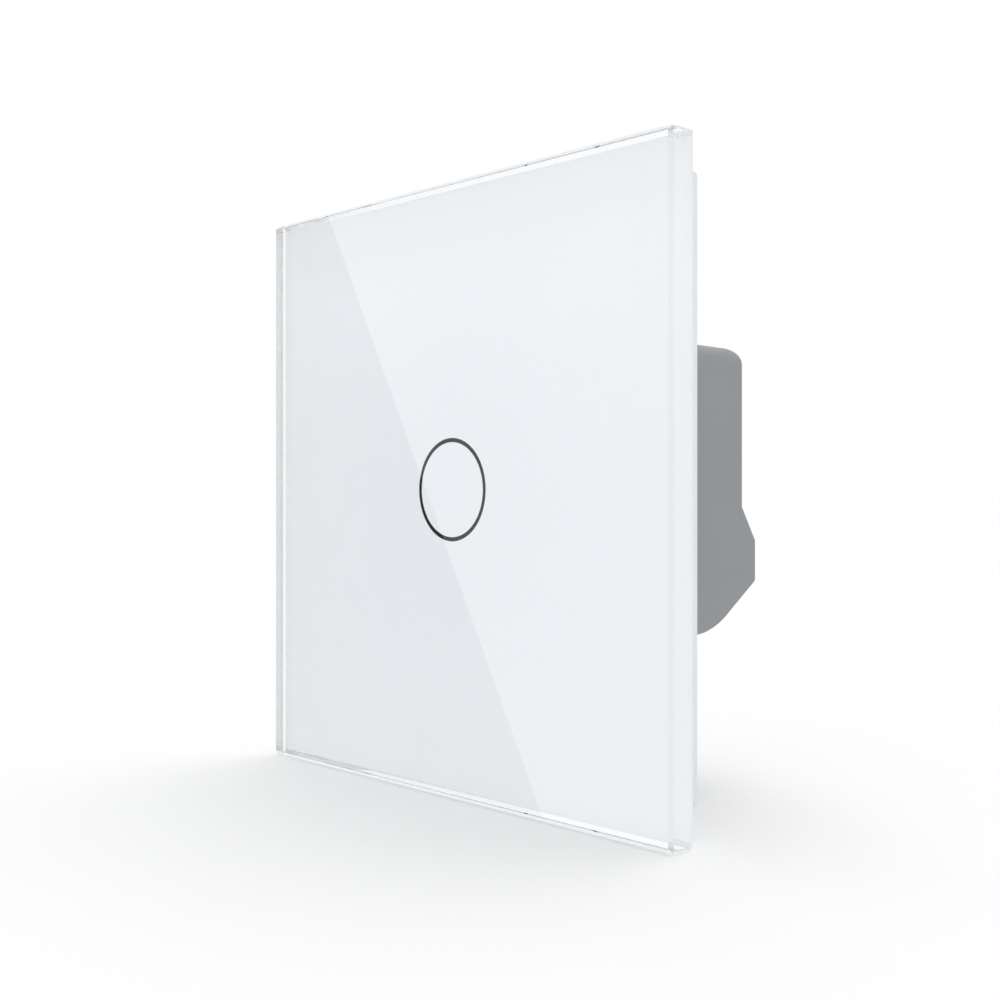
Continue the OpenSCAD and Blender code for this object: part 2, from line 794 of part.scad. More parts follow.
module relay_pin_rods(gap, y0, y1) {
    for (x = [-1, 1], z = [-1, 1])
        rod_y(x * relay_pin_x, relay_z + z * relay_pin_z, relay_pin_r + gap, y0, y1);
}

// Base of the relay, with two ears that carry the armature's pivot
module relay_base() {
    w = relay_l - 2 * (relay_wall + slide_gap);
    d = relay_w - 2 * (relay_wall + slide_gap);
    ear_z = armature_w / 2 + fit_gap;
    color("#2a2a2c") difference() {
        union() {
            translate([0, 0, relay_z])
                box([-w / 2, y_power_back, -d / 2], [w / 2, y_power_back + relay_base_t, d / 2]);
            for (s = [0, 1]) translate([armature_x, 0, relay_z]) mirror([0, 0, s])
                box([-ear_t, y_power_back, ear_z], [ear_t, pivot_y + ear_t, ear_z + ear_t]);
        }
        translate([armature_x, pivot_y, relay_z - armature_w])
            cylinder(r = pivot_r + slide_gap, h = 2 * armature_w);
        relay_pin_rods(0, y_power - over, y_power_back + relay_base_t + over);
    }
}

module relay_pins() {
    color("silver") relay_pin_rods(0, y_power - tail_end, y_power_back + relay_base_t);
}

// Steel yoke and core: the core is riveted into the yoke's upright
module relay_yoke() {
    y0 = y_power_back + relay_base_t;
    color("gray") translate([0, 0, relay_z]) {
        box([yoke_back, y0, -yoke_w / 2], [yoke_front, y0 + yoke_t, yoke_w / 2]);
        box([yoke_back - yoke_t, y0, -yoke_w / 2], [yoke_back, coil_axis + core_r, yoke_w / 2]);
        rod_x(coil_axis, 0, core_r, yoke_back, pole_x);
    }
}

module relay_bobbin() {
    color("#e8e2d0") translate([0, 0, relay_z]) difference() {
        union() {
            rod_x(coil_axis, 0, core_r + bobbin_wall, coil_back, coil_front);
            rod_x(coil_axis, 0, bobbin_r, coil_back - bobbin_flange_t, coil_back);
            rod_x(coil_axis, 0, bobbin_r, coil_front, coil_front + bobbin_flange_t);
        }
        rod_x(coil_axis, 0, core_r, yoke_back, pole_x + over);
    }
}

module relay_coil() {
    color("peru") translate([0, 0, relay_z]) difference() {
        rod_x(coil_axis, 0, coil_r, coil_back, coil_front);
        rod_x(coil_axis, 0, core_r + bobbin_wall, coil_back - over, coil_front + over);
    }
}

// Fixed contact: a strip from the base, beside the core, with a contact rivet
module relay_fixed_contact() {
    y0 = y_power_back + relay_base_t;
    strip_x = fixed_face - contact_r;
    strip_z = yoke_w / 2 + fit_gap;
    color("goldenrod") translate([0, 0, relay_z]) {
        along_x(strip_x - strip_th, strip_x) polygon([
            [y0, strip_z], [y0, strip_z + strip_w], [leaf_top, strip_z + strip_w], [leaf_top, -contact_r],
            [contact_y - contact_r, -contact_r], [contact_y - contact_r, strip_z]]);
        rod_x(contact_y, 0, rivet_r, strip_x, fixed_face);
    }
}

module relay_armature() {
    color("dimgray") translate([0, 0, relay_z]) {
        box([armature_x - armature_t / 2, pivot_y - pivot_r, -armature_w / 2],
            [armature_x + armature_t / 2, contact_y - contact_r - fit_gap, armature_w / 2]);
        translate([armature_x, pivot_y, -armature_w / 2 - fit_gap - ear_t])
            cylinder(r = pivot_r, h = armature_w + 2 * (fit_gap + ear_t));
    }
}

// Leaf that the armature carries, with the moving contact at its tip
module relay_contact_spring() {
    leaf_x = armature_x + armature_t / 2;
    color("goldenrod") translate([0, 0, relay_z]) {
        box([leaf_x, pivot_y + leaf_start, -leaf_w / 2], [leaf_x + leaf_t, leaf_top, leaf_w / 2]);
        rod_x(contact_y, 0, rivet_r, contact_face, leaf_x);
    }
}

module relay_case() {
    color("#30343a") translate([0, 0, relay_z]) difference() {
        box([-relay_l / 2, y_power_back, -relay_w / 2], [relay_l / 2, y_power_back + relay_h, relay_w / 2]);
        box([relay_wall - relay_l / 2, y_power_back - over, relay_wall - relay_w / 2],
            [relay_l / 2 - relay_wall, y_power_back + relay_h - relay_wall, relay_w / 2 - relay_wall]);
    }
}

// Solder tails of the brass terminals, two for each
module tails(gap, y0, y1) {
    for (x = terminal_xs, z = [-1, 1])
        rod_y(x, terminal_z + z * tail_z, tail_r + gap, y0, y1);
}

// Insulating block with a cell for each terminal, cut off along the wire entry slope
module terminal_block() {
    color("#3b3d40") difference() {
        intersection() {
            box([-block_w / 2, y_power_back, block_low_z], [block_w / 2, y_head, block_top_z]);
            along_x(-block_w, block_w) housing_side(wall + fit_gap, wall + fit_gap);
        }
        for (x = terminal_xs) translate([x, 0, terminal_z])
            box([-cell_w / 2, y_cell, -cell_w / 2], [cell_w / 2, y_hump, cell_w / 2]);
        at_entries() translate([-mouth_w / 2, -mouth_w / 2, -wall - mouth_l])
            cube([mouth_w, mouth_w, mouth_l + wall]);
        tails(slide_gap, y_power_back - over, y_cell + over);
    }
}

// Brass terminals: a threaded block in each cell and two solder tails
module terminal_brasses() {
    color("goldenrod") {
        difference() {
            for (x = terminal_xs) translate([x, 0, terminal_z])
                box([-brass_w / 2, y_cell, -brass_w / 2], [brass_w / 2, y_brass, brass_w / 2]);
            for (x = terminal_xs)
                rod_y(x, terminal_z, screw_r + slide_gap, y_cell + thread_floor, y_brass + over);
        }
        tails(0, y_power - tail_end, y_cell);
    }
}

module clamp_plate(x) {
    color("silver") translate([x, 0, terminal_z]) difference() {
        box([-clamp_w / 2, y_clamp, -clamp_w / 2], [clamp_w / 2, y_head_seat, clamp_w / 2]);
        rod_y(0, 0, screw_r + slide_gap, y_clamp - over, y_head_seat + over);
    }
}

// Screw with a cross recess: its head bears on the clamp plate
module terminal_screw(x) {
    color("silver") translate([x, 0, terminal_z]) difference() {
        union() {
            rod_y(0, 0, head_r, y_head_seat, y_head);
            rod_y(0, 0, screw_r, y_head_seat - screw_l, y_head_seat);
        }
        cross_recess(2 * screw_r, driver_slot_w, y_head - driver_slot_depth, y_head + over);
    }
}

module film_capacitor() {
    color("#c9a227") box([film_x - film_w / 2, y_parts, film_z - film_l / 2],
        [film_x + film_w / 2, y_power, film_z + film_l / 2]);
}

// Electrolytic capacitor lying on the board, and the rubber seal in its end
module electrolytic_can() {
    color("#20303f") translate([can_x, y_power - can_d / 2, can_z - can_l / 2])
        cylinder(r = can_d / 2, h = can_l - seal_t);
}

module can_seal() {
    color("#111111") translate([can_x, y_power - can_d / 2, can_z + can_l / 2 - seal_t])
        cylinder(r = can_d / 2 - seal_inset, h = seal_t);
}

module varistor() {
    color("#2f5fa8") translate([varistor_x, y_power - parts_h / 2, varistor_z - varistor_t / 2])
        cylinder(r = parts_h / 2, h = varistor_t);
}

// Two E cores back to back, seen as a frame with a middle leg, and the winding on that leg
module transformer_core() {
    color("#26282b") translate([0, 0, trafo_z]) difference() {
        box([-trafo_w / 2, y_parts, -trafo_l / 2], [trafo_w / 2, y_power - trafo_foot, trafo_l / 2]);
        for (s = [0, 1]) mirror([s, 0, 0])
            box([trafo_leg / 2, y_parts + trafo_leg / 2, -trafo_l],
                [trafo_w / 2 - trafo_leg / 2, y_power - trafo_foot - trafo_leg / 2, trafo_l]);
    }
}

module transformer_winding() {
    half_w = trafo_w / 2 - trafo_leg / 2 - fit_gap;
    half_l = trafo_l / 2 + trafo_foot;
    foot_y = y_power - trafo_foot - trafo_leg / 2;
    color("#d9b84a") translate([0, 0, trafo_z]) {
        difference() {
            box([-half_w, y_parts + trafo_leg / 2, -half_l], [half_w, foot_y, half_l]);
            box([-trafo_leg / 2, y_parts, -trafo_l / 2], [trafo_leg / 2, y_power, trafo_l / 2]);
        }
        for (s = [0, 1]) mirror([0, 0, s]) box([-half_w, foot_y, trafo_l / 2], [half_w, y_power, half_l]);
    }
}

module fuse() {
    half_l = fuse_l / 2 - fuse_cap_l;
    color("lightgray")
        rod_x(y_power - fuse_r, fuse_z, fuse_r - fuse_body_gap, fuse_x - half_l, fuse_x + half_l);
}

module fuse_caps() {
    color("silver") for (s = [0, 1]) translate([fuse_x, 0, 0]) mirror([s, 0, 0])
        rod_x(y_power - fuse_r, fuse_z, fuse_r, fuse_l / 2 - fuse_cap_l, fuse_l / 2);
}

module rectifier() {
    half = rectifier_w / 2;
    color("#202020") translate([rectifier_x, 0, rectifier_z])
        box([-half, y_power - rectifier_t, -half], [half, y_power, half]);
}

glass_panel();
backing_print();
ring_window();
adhesive_tape();
panel_carrier();
snap_hooks();
mounting_frame();
touch_cover();
light_guide();
touch_spring();
touch_board();
indicator_leds();
touch_chips();
header_strip();
header_pins();
header_socket();
rear_housing();
housing_screws();
power_board();
board_screws();
relay_base();
relay_pins();
relay_yoke();
relay_bobbin();
relay_coil();
relay_fixed_contact();
relay_armature();
relay_contact_spring();
relay_case();
terminal_block();
terminal_brasses();
clamp_plate(terminal_xs[0]);  // clamp_plate_left
clamp_plate(terminal_xs[1]);  // clamp_plate_middle
clamp_plate(terminal_xs[2]);  // clamp_plate_right
terminal_screw(terminal_xs[0]);  // terminal_screw_left
terminal_screw(terminal_xs[1]);  // terminal_screw_middle
terminal_screw(terminal_xs[2]);  // terminal_screw_right
film_capacitor();
electrolytic_can();
can_seal();
varistor();
transformer_core();
transformer_winding();
fuse();
fuse_caps();
rectifier();
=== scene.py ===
import math

import bpy
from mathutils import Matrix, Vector


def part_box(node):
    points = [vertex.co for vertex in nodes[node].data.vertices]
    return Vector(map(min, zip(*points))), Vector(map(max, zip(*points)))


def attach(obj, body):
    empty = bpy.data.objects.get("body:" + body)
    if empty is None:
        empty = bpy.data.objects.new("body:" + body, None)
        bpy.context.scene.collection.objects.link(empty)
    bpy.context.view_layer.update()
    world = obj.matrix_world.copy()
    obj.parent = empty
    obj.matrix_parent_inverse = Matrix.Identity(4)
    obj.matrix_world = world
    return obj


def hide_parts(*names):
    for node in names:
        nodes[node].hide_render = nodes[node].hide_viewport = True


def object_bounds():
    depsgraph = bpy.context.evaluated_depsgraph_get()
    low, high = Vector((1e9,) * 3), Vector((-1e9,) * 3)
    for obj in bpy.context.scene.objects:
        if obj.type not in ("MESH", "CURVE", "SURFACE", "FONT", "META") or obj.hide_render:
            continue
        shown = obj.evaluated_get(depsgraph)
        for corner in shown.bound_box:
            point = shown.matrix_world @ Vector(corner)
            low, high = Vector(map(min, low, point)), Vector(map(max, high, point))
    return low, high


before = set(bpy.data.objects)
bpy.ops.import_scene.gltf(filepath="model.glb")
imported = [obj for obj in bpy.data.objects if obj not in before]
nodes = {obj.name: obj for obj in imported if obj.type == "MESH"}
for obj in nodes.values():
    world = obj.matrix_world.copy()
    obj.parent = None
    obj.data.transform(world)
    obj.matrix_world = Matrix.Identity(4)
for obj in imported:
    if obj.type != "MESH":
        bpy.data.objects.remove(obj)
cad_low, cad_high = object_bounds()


# Power board: the rear circuit board, glass-fibre laminate under a green solder mask.
# It is routed from a sheet, etched on both sides and held by two screws in the housing.
mm = 0.001


def shade(red, green, blue):
    """A colour as it looks on a screen, 0 to 255, as the linear values that shaders take."""
    def linear(level):
        share = level / 255
        return share / 12.92 if share <= 0.04045 else ((share + 0.055) / 1.055) ** 2.4
    return linear(red), linear(green), linear(blue)


def start_finish(name):
    """A new material with its node tree and its surface shader."""
    material = bpy.data.materials.new(name)
    material.use_nodes = True
    return material, material.node_tree, material.node_tree.nodes["Principled BSDF"]


def on_piece(tree, stretch=(1, 1, 1)):
    """Coordinates fixed to the piece, in metres, stretched along its axes."""
    place = tree.nodes.new("ShaderNodeTexCoord")
    mapping = tree.nodes.new("ShaderNodeMapping")
    mapping.inputs["Scale"].default_value = stretch
    tree.links.new(place.outputs["Object"], mapping.inputs["Vector"])
    return mapping.outputs["Vector"]


def grain(tree, size, detail=3, stretch=(1, 1, 1)):
    """A cloudy pattern whose grains are about this size across."""
    noise = tree.nodes.new("ShaderNodeTexNoise")
    noise.inputs["Scale"].default_value = 1 / size
    noise.inputs["Detail"].default_value = detail
    tree.links.new(on_piece(tree, stretch), noise.inputs["Vector"])
    return noise.outputs["Fac"]


def vary(tree, pattern, socket, least, most, low=0.3, high=0.7):
    """Runs a number, such as a roughness, from least to most along a pattern."""
    span = tree.nodes.new("ShaderNodeMapRange")
    span.inputs["From Min"].default_value = low
    span.inputs["From Max"].default_value = high
    span.inputs["To Min"].default_value = least
    span.inputs["To Max"].default_value = most
    tree.links.new(pattern, span.inputs["Value"])
    tree.links.new(span.outputs["Result"], socket)


def emboss(tree, pattern, socket, height, strength=0.6):
    """Raises the surface along a pattern by up to this height."""
    bump = tree.nodes.new("ShaderNodeBump")
    bump.inputs["Distance"].default_value = height
    bump.inputs["Strength"].default_value = strength
    tree.links.new(pattern, bump.inputs["Height"])
    tree.links.new(bump.outputs["Normal"], socket)


def masked_board(name):
    """Solder mask over copper tracks, which show as slightly raised paler lines."""
    track_pitch = 1.1 * mm
    track_run = 7 * track_pitch
    track_width = 0.22 * track_pitch
    track_height = 0.03 * mm
    mask_grain = 0.4 * mm
    material, tree, surface = start_finish(name)
    tracks = tree.nodes.new("ShaderNodeTexBrick")
    tracks.inputs["Scale"].default_value = 1
    tracks.inputs["Brick Width"].default_value = track_run
    tracks.inputs["Row Height"].default_value = track_pitch
    tracks.inputs["Mortar Size"].default_value = track_width
    tracks.inputs["Color1"].default_value = (*shade(18, 74, 44), 1)
    tracks.inputs["Color2"].default_value = (*shade(22, 82, 50), 1)
    tracks.inputs["Mortar"].default_value = (*shade(44, 118, 74), 1)
    turned = tree.nodes.new("ShaderNodeMapping")
    turned.inputs["Rotation"].default_value = (math.radians(90), 0, 0)
    tree.links.new(on_piece(tree), turned.inputs["Vector"])
    tree.links.new(turned.outputs["Vector"], tracks.inputs["Vector"])
    tree.links.new(tracks.outputs["Color"], surface.inputs["Base Color"])
    vary(tree, grain(tree, mask_grain), surface.inputs["Roughness"], least=0.28, most=0.42)
    emboss(tree, tracks.outputs["Fac"], surface.inputs["Normal"], height=track_height)
    return material


def wear_finish(material, *names):
    """Gives CAD nodes this finish on every face."""
    for name in names:
        nodes[name].data.materials.clear()
        nodes[name].data.materials.append(material)


green_board = masked_board("green_board")
wear_finish(green_board, "power_board")


# Parts on the power board: film capacitor, electrolytic can with its rubber seal, varistor,
# transformer, fuse and rectifier. They are bought parts, pushed through the board and soldered.
def tint(tree, pattern, socket, dark, light, low=0.35, high=0.65):
    """Colours a socket from dark to light along a pattern."""
    ramp = tree.nodes.new("ShaderNodeValToRGB")
    ramp.color_ramp.elements[0].position = low
    ramp.color_ramp.elements[0].color = (*dark, 1)
    ramp.color_ramp.elements[1].position = high
    ramp.color_ramp.elements[1].color = (*light, 1)
    tree.links.new(pattern, ramp.inputs["Fac"])
    tree.links.new(ramp.outputs["Color"], socket)


def moulded(name, colour, grain_size, grain_height, roughness, mottle=0.05):
    """A moulded or coated surface: the fine grain of its skin, and a faint mottle from the melt."""
    flow_size = 9 * mm
    unevenness = 0.06
    material, tree, surface = start_finish(name)
    darker = [part * (1 - mottle) for part in colour]
    lighter = [min(1, part * (1 + mottle)) for part in colour]
    tint(tree, grain(tree, flow_size), surface.inputs["Base Color"], dark=darker, light=lighter)
    skin = grain(tree, grain_size)
    vary(
        tree,
        skin,
        surface.inputs["Roughness"],
        least=roughness - unevenness,
        most=roughness + unevenness,
    )
    emboss(tree, skin, surface.inputs["Normal"], height=grain_height)
    return material


def bare_metal(name, dark, light, line_width, roughness):
    """Metal with a drawn or plated surface: fine lines along Y and uneven brightness."""
    line_height = 0.01 * mm
    line_stretch = (1, 0.15, 1)
    unevenness = 0.1
    material, tree, surface = start_finish(name)
    lines = grain(tree, line_width, detail=4, stretch=line_stretch)
    tint(tree, lines, surface.inputs["Base Color"], dark=dark, light=light)
    surface.inputs["Metallic"].default_value = 1
    vary(
        tree,
        lines,
        surface.inputs["Roughness"],
        least=roughness - unevenness,
        most=roughness + unevenness,
    )
    emboss(tree, lines, surface.inputs["Normal"], height=line_height)
    return material


black_plastic = moulded(
    "black_plastic",
    shade(34, 35, 37),
    grain_size=0.12 * mm,
    grain_height=0.012 * mm,
    roughness=0.42,
)
yellow_plastic = moulded(
    "yellow_plastic",
    shade(222, 178, 54),
    grain_size=0.2 * mm,
    grain_height=0.01 * mm,
    roughness=0.35,
)
can_sleeve = moulded(
    "can_sleeve",
    shade(38, 48, 74),
    grain_size=0.3 * mm,
    grain_height=0.006 * mm,
    roughness=0.3,
)
rubber_seal = moulded(
    "rubber_seal",
    shade(28, 27, 27),
    grain_size=0.1 * mm,
    grain_height=0.015 * mm,
    roughness=0.7,
)
blue_coating = moulded(
    "blue_coating",
    shade(46, 84, 160),
    grain_size=0.35 * mm,
    grain_height=0.03 * mm,
    roughness=0.3,
)
ferrite = moulded(
    "ferrite",
    shade(62, 60, 60),
    grain_size=0.08 * mm,
    grain_height=0.02 * mm,
    roughness=0.6,
    mottle=0.15,
)
fuse_glass = moulded(
    "fuse_glass",
    shade(196, 206, 198),
    grain_size=0.5 * mm,
    grain_height=0.004 * mm,
    roughness=0.12,
)
steel = bare_metal(
    "plated_steel",
    dark=shade(168, 170, 172),
    light=shade(205, 207, 209),
    line_width=0.25 * mm,
    roughness=0.3,
)
wear_finish(yellow_plastic, "film_capacitor", "transformer_winding")
wear_finish(can_sleeve, "electrolytic_can")
wear_finish(rubber_seal, "can_seal")
wear_finish(blue_coating, "varistor")
wear_finish(ferrite, "transformer_core")
wear_finish(fuse_glass, "fuse")
wear_finish(steel, "fuse_caps")
wear_finish(black_plastic, "rectifier")


# Relay: a bobbin wound with enamelled wire round a steel core, a steel yoke and armature,
# silver-faced brass contacts, and a black case over a moulded base with tinned pins.
def wound(name, wire, varnish, painted_gap_shade, across):
    """Enamelled wire wound in close turns, seen as fine ridges across the winding, with painted
    shade in the grooves between turns.
    """
    band_at_scale_one = math.pi / 10
    wobble = 0.4
    ridge_height = 0.4 * wire
    varnish_grain = 0.5 * mm
    material, tree, surface = start_finish(name)
    turns = tree.nodes.new("ShaderNodeTexWave")
    turns.bands_direction = across
    turns.inputs["Scale"].default_value = band_at_scale_one / wire
    turns.inputs["Distortion"].default_value = wobble
    tree.links.new(on_piece(tree), turns.inputs["Vector"])
    ridges = turns.outputs["Fac"]
    # The grooves between turns get the darker colour: painted shade, since the wire itself is one
    # colour.
    tint(tree, ridges, surface.inputs["Base Color"], dark=painted_gap_shade, light=varnish, low=0.1, high=0.7)
    surface.inputs["Metallic"].default_value = 0.75
    vary(tree, grain(tree, varnish_grain), surface.inputs["Roughness"], least=0.25, most=0.4)
    emboss(tree, ridges, surface.inputs["Normal"], height=ridge_height)
    return material


brass = bare_metal(
    "brass",
    dark=shade(196, 158, 84),
    light=shade(222, 188, 112),
    line_width=0.3 * mm,
    roughness=0.28,
)
natural_plastic = moulded(
    "natural_plastic",
    shade(226, 220, 202),
    grain_size=0.3 * mm,
    grain_height=0.01 * mm,
    roughness=0.45,
)
copper_winding = wound(
    "copper_winding",
    wire=0.16 * mm,
    varnish=shade(186, 98, 52),
    # painted shade for the grooves between turns
    painted_gap_shade=shade(84, 36, 18),
    across="X",
)
wear_finish(black_plastic, "relay_base", "relay_case")
wear_finish(steel, "relay_pins", "relay_yoke", "relay_armature")
wear_finish(natural_plastic, "relay_bobbin")
wear_finish(copper_winding, "relay_coil")
wear_finish(brass, "relay_fixed_contact", "relay_contact_spring")


# Terminals: a black block holds three brass bodies. In each a zinc-plated screw
# draws a steel clamp plate down on the wire that comes in through the sloped face.
sides = ("left", "middle", "right")
wear_finish(black_plastic, "terminal_block")
wear_finish(brass, "terminal_brasses")
wear_finish(steel, *(f"clamp_plate_{side}" for side in sides))
wear_finish(steel, *(f"terminal_screw_{side}" for side in sides))


# Rear housing: one grey moulding with drafted sides, which sits in the wall box.
# Its mould was spark-eroded, so the outside is evenly matt. Screws join it to the touch cover.
def soften_edges(name, radius):
    """Rounds a node's sharp outer edges as moulding leaves them."""
    weld = nodes[name].modifiers.new("weld", "WELD")
    weld.merge_threshold = 0.001 * mm
    bevel = nodes[name].modifiers.new("soft_edges", "BEVEL")
    bevel.width = radius
    bevel.segments = 2
    bevel.limit_method = "ANGLE"
    bevel.angle_limit = math.radians(50)
    bevel.harden_normals = True


housing_edge = 0.2 * mm
grey_plastic = moulded(
    "grey_plastic",
    shade(148, 152, 155),
    grain_size=0.16 * mm,
    grain_height=0.02 * mm,
    roughness=0.65,
    mottle=0.02,
)
wear_finish(grey_plastic, "rear_housing")
soften_edges("rear_housing", housing_edge)
wear_finish(steel, "housing_screws", "board_screws")


# Mounting frame: a white moulding that two screws hold on the wall box through its slots.
# The glass panel's hooks snap behind its ledges.
white_edge = 0.12 * mm
white_plastic = moulded(
    "white_plastic",
    shade(238, 239, 241),
    grain_size=0.18 * mm,
    grain_height=0.012 * mm,
    roughness=0.42,
    mottle=0.015,
)
wear_finish(white_plastic, "mounting_frame")
soften_edges("mounting_frame", white_edge)


# Touch board: the front circuit board, of the same green laminate, held by stakes in the touch
# cover. It carries the touch controller and four indicator lights. Brass pins in a black strip
# plug it into the socket on the power board.
led_lens = moulded(
    "led_lens",
    shade(236, 226, 170),
    grain_size=0.2 * mm,
    grain_height=0.004 * mm,
    roughness=0.2,
)
wear_finish(green_board, "touch_board")
wear_finish(black_plastic, "touch_chips", "header_strip", "header_socket")
wear_finish(brass, "header_pins")
wear_finish(led_lens, "indicator_leds")


# Touch spring and light guide: a cone of spring wire presses on the back of the glass and senses
# the finger, inside a ring of milky plastic that spreads the indicator lights.
spring_steel = bare_metal(
    "spring_steel",
    dark=shade(176, 174, 168),
    light=shade(214, 211, 203),
    line_width=0.15 * mm,
    roughness=0.25,
)
milky_plastic = moulded(
    "milky_plastic",
    shade(236, 238, 236),
    grain_size=0.25 * mm,
    grain_height=0.008 * mm,
    roughness=0.4,
    mottle=0.02,
)
milky_surface = milky_plastic.node_tree.nodes["Principled BSDF"]
milky_surface.inputs["Subsurface Weight"].default_value = 0.4
milky_surface.inputs["Subsurface Scale"].default_value = mm
wear_finish(spring_steel, "touch_spring")
wear_finish(milky_plastic, "light_guide")


# Touch cover: the white moulded tray over the touch board, whose stakes hold the board.
# Four screws through the frame join it to the rear housing.
wear_finish(white_plastic, "touch_cover")


# Panel carrier: the white moulded rim behind the glass, which reaches back to the wall.
# Four snap hooks on its walls hold it on the mounting frame.
wear_finish(white_plastic, "panel_carrier", "snap_hooks")
soften_edges("panel_carrier", white_edge)


# Adhesive tape: a frame of thin foam tape, die-cut and sticky on both sides.
# It lies in the carrier's groove and bonds the carrier to the printed glass.
foam_tape = moulded(
    "foam_tape",
    shade(232, 232, 228),
    grain_size=0.3 * mm,
    grain_height=0.05 * mm,
    roughness=0.8,
)
wear_finish(foam_tape, "adhesive_tape")


# Printed back: white ink, screen-printed on the back of the glass and baked, with a thin ring
# of smoked ink left for the light. The ink wets the glass, so no air lies between them.
print_low, print_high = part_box("backing_print")
glass_low, glass_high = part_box("glass_panel")
glass_half = glass_high.x
back_bevel = 0.6 * mm
print_corner = 0.15 * mm
ink_grip = 0.03 * mm
ring_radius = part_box("ring_window")[1].x
ring_line = 0.55 * mm
quarter_steps = 48


def round_outline(radius):
    """Points of a circle about the panel's middle, as (x, z)."""
    steps = 4 * quarter_steps
    turns = [2 * math.pi * i / steps for i in range(steps)]
    return [(radius * math.cos(turn), radius * math.sin(turn)) for turn in turns]


def square_outline(half, corner):
    """Points of a square with rounded corners about the panel's middle, as many as a circle has."""
    points = []
    for quarter in range(4):
        for i in range(quarter_steps):
            turn = math.pi / 2 * (quarter + i / (quarter_steps - 1))
            middle = math.pi / 2 * (quarter + 0.5)
            x = math.copysign(half - corner, math.cos(middle)) + corner * math.cos(turn)
            z = math.copysign(half - corner, math.sin(middle)) + corner * math.sin(turn)
            points.append((x, z))
    return points


def lofted(name, loops, hollow=False):
    """A skin through outlines, each at its own y: capped at both ends, or run round a hollow one."""
    count = len(loops[0][0])
    points = [(x, y, z) for outline, y in loops for x, z in outline]
    faces = []
    for loop in range(len(loops) if hollow else len(loops) - 1):
        here = loop * count
        there = (loop + 1) % len(loops) * count
        for i in range(count):
            after = (i + 1) % count
            faces.append((here + i, there + i, there + after, here + after))
    if not hollow:
        faces.append(tuple(range(count)))
        faces.append(tuple(reversed(range(len(points) - count, len(points)))))
    mesh = bpy.data.meshes.new(name)
    mesh.from_pydata(points, [], faces)
    mesh.validate()
    piece = bpy.data.objects.new(name, mesh)
    bpy.context.scene.collection.objects.link(piece)
    return piece


def ink(name, dark, light, roughness):
    """Screen ink: nearly even, with the faint weave of the screen."""
    weave_size = 0.5 * mm
    pigment_size = 0.2 * mm
    unevenness = 0.05
    material, tree, surface = start_finish(name)
    tint(tree, grain(tree, weave_size), surface.inputs["Base Color"], dark=dark, light=light)
    vary(
        tree,
        grain(tree, pigment_size),
        surface.inputs["Roughness"],
        least=roughness - unevenness,
        most=roughness + unevenness,
    )
    surface.inputs["Specular IOR Level"].default_value = 0
    return material


def ink_layer(name, outer, inner=None):
    """One layer of ink on the glass, full or round a bare inside."""
    front = print_low.y - ink_grip
    loops = [(outer, front), (outer, print_high.y)]
    if inner:
        loops += [(inner, print_high.y), (inner, front)]
    return lofted(name, loops, hollow=inner is not None)


ring_outside = round_outline(ring_radius)
ring_inside = round_outline(ring_radius - ring_line)
print_edge = square_outline(glass_half - back_bevel, print_corner)
white_ink = ink("white_ink", dark=(0.943, 0.959, 0.977), light=(0.953, 0.969, 0.987), roughness=0.6)
printed_field = ink_layer("printed_field", print_edge, ring_outside)
printed_centre = ink_layer("printed_centre", ring_inside)
for layer in (printed_field, printed_centre):
    layer.data.materials.append(white_ink)
    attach(layer, "panel")
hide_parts("backing_print")

ring_ink = ink("ring_ink", dark=shade(44, 48, 51), light=shade(52, 56, 59), roughness=0.5)
ring_mark = ink_layer("ring_mark", ring_outside, ring_inside)
ring_mark.data.materials.append(ring_ink)
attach(ring_mark, "panel")
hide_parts("ring_window")


# Glass panel: clear 4 mm float glass, cut square and toughened. Its edges are ground and polished,
# with an even bevel at the front and a wider, flatter one at the back.
def float_glass(name):
    """Float glass: almost free of colour, and flat to a few microns."""
    cloud_size = 30 * mm
    material, tree, surface = start_finish(name)
    surface.inputs["Transmission Weight"].default_value = 1
    surface.inputs["IOR"].default_value = 1.52
    surface.inputs["Roughness"].default_value = 0
    tint(
        tree,
        grain(tree, cloud_size),
        surface.inputs["Base Color"],
        dark=(0.985, 0.995, 0.995),
        light=(0.99, 0.998, 1),
    )
    return material


glass_corner = 0.4 * mm
face_corner = 0.12 * mm
front_bevel = 0.47 * mm
back_bevel_slope = math.radians(34.5)
back_bevel_rise = back_bevel * math.tan(back_bevel_slope)
glass = lofted("glass", [
    (square_outline(glass_half - front_bevel, face_corner), glass_low.y),
    (square_outline(glass_half, glass_corner), glass_low.y + front_bevel),
    (square_outline(glass_half, glass_corner), glass_high.y - back_bevel_rise),
    (square_outline(glass_half - back_bevel, face_corner), glass_high.y),
])
glass.data.materials.append(float_glass("clear_glass"))
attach(glass, "panel")
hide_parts("glass_panel")


# Studio: a white floor, a white surround that is brighter behind, a wide soft lamp above and two
# black cards that show only in reflections. The left card's edge draws the slanting line in the
# glass, and the slim card at the right darkens the right front bevel.
def reckon(tree, operation, first, second):
    """A sum worked out from two outputs, or from an output and a number."""
    sum_node = tree.nodes.new("ShaderNodeMath")
    sum_node.operation = operation
    tree.links.new(first, sum_node.inputs[0])
    if isinstance(second, (int, float)):
        sum_node.inputs[1].default_value = second
    else:
        tree.links.new(second, sum_node.inputs[1])
    return sum_node.outputs["Value"]


def to_the_eye(tree, *rays):
    """One on these kinds of ray, unless another matt surface lies between the print and the eye."""
    too_many_matt = 2
    path = tree.nodes.new("ShaderNodeLightPath")
    matt = reckon(tree, "SUBTRACT", path.outputs["Diffuse Depth"], path.outputs["Glossy Depth"])
    chosen = path.outputs[rays[0]]
    for ray in rays[1:]:
        chosen = reckon(tree, "MAXIMUM", chosen, path.outputs[ray])
    return reckon(tree, "MULTIPLY", chosen, reckon(tree, "LESS_THAN", matt, too_many_matt))


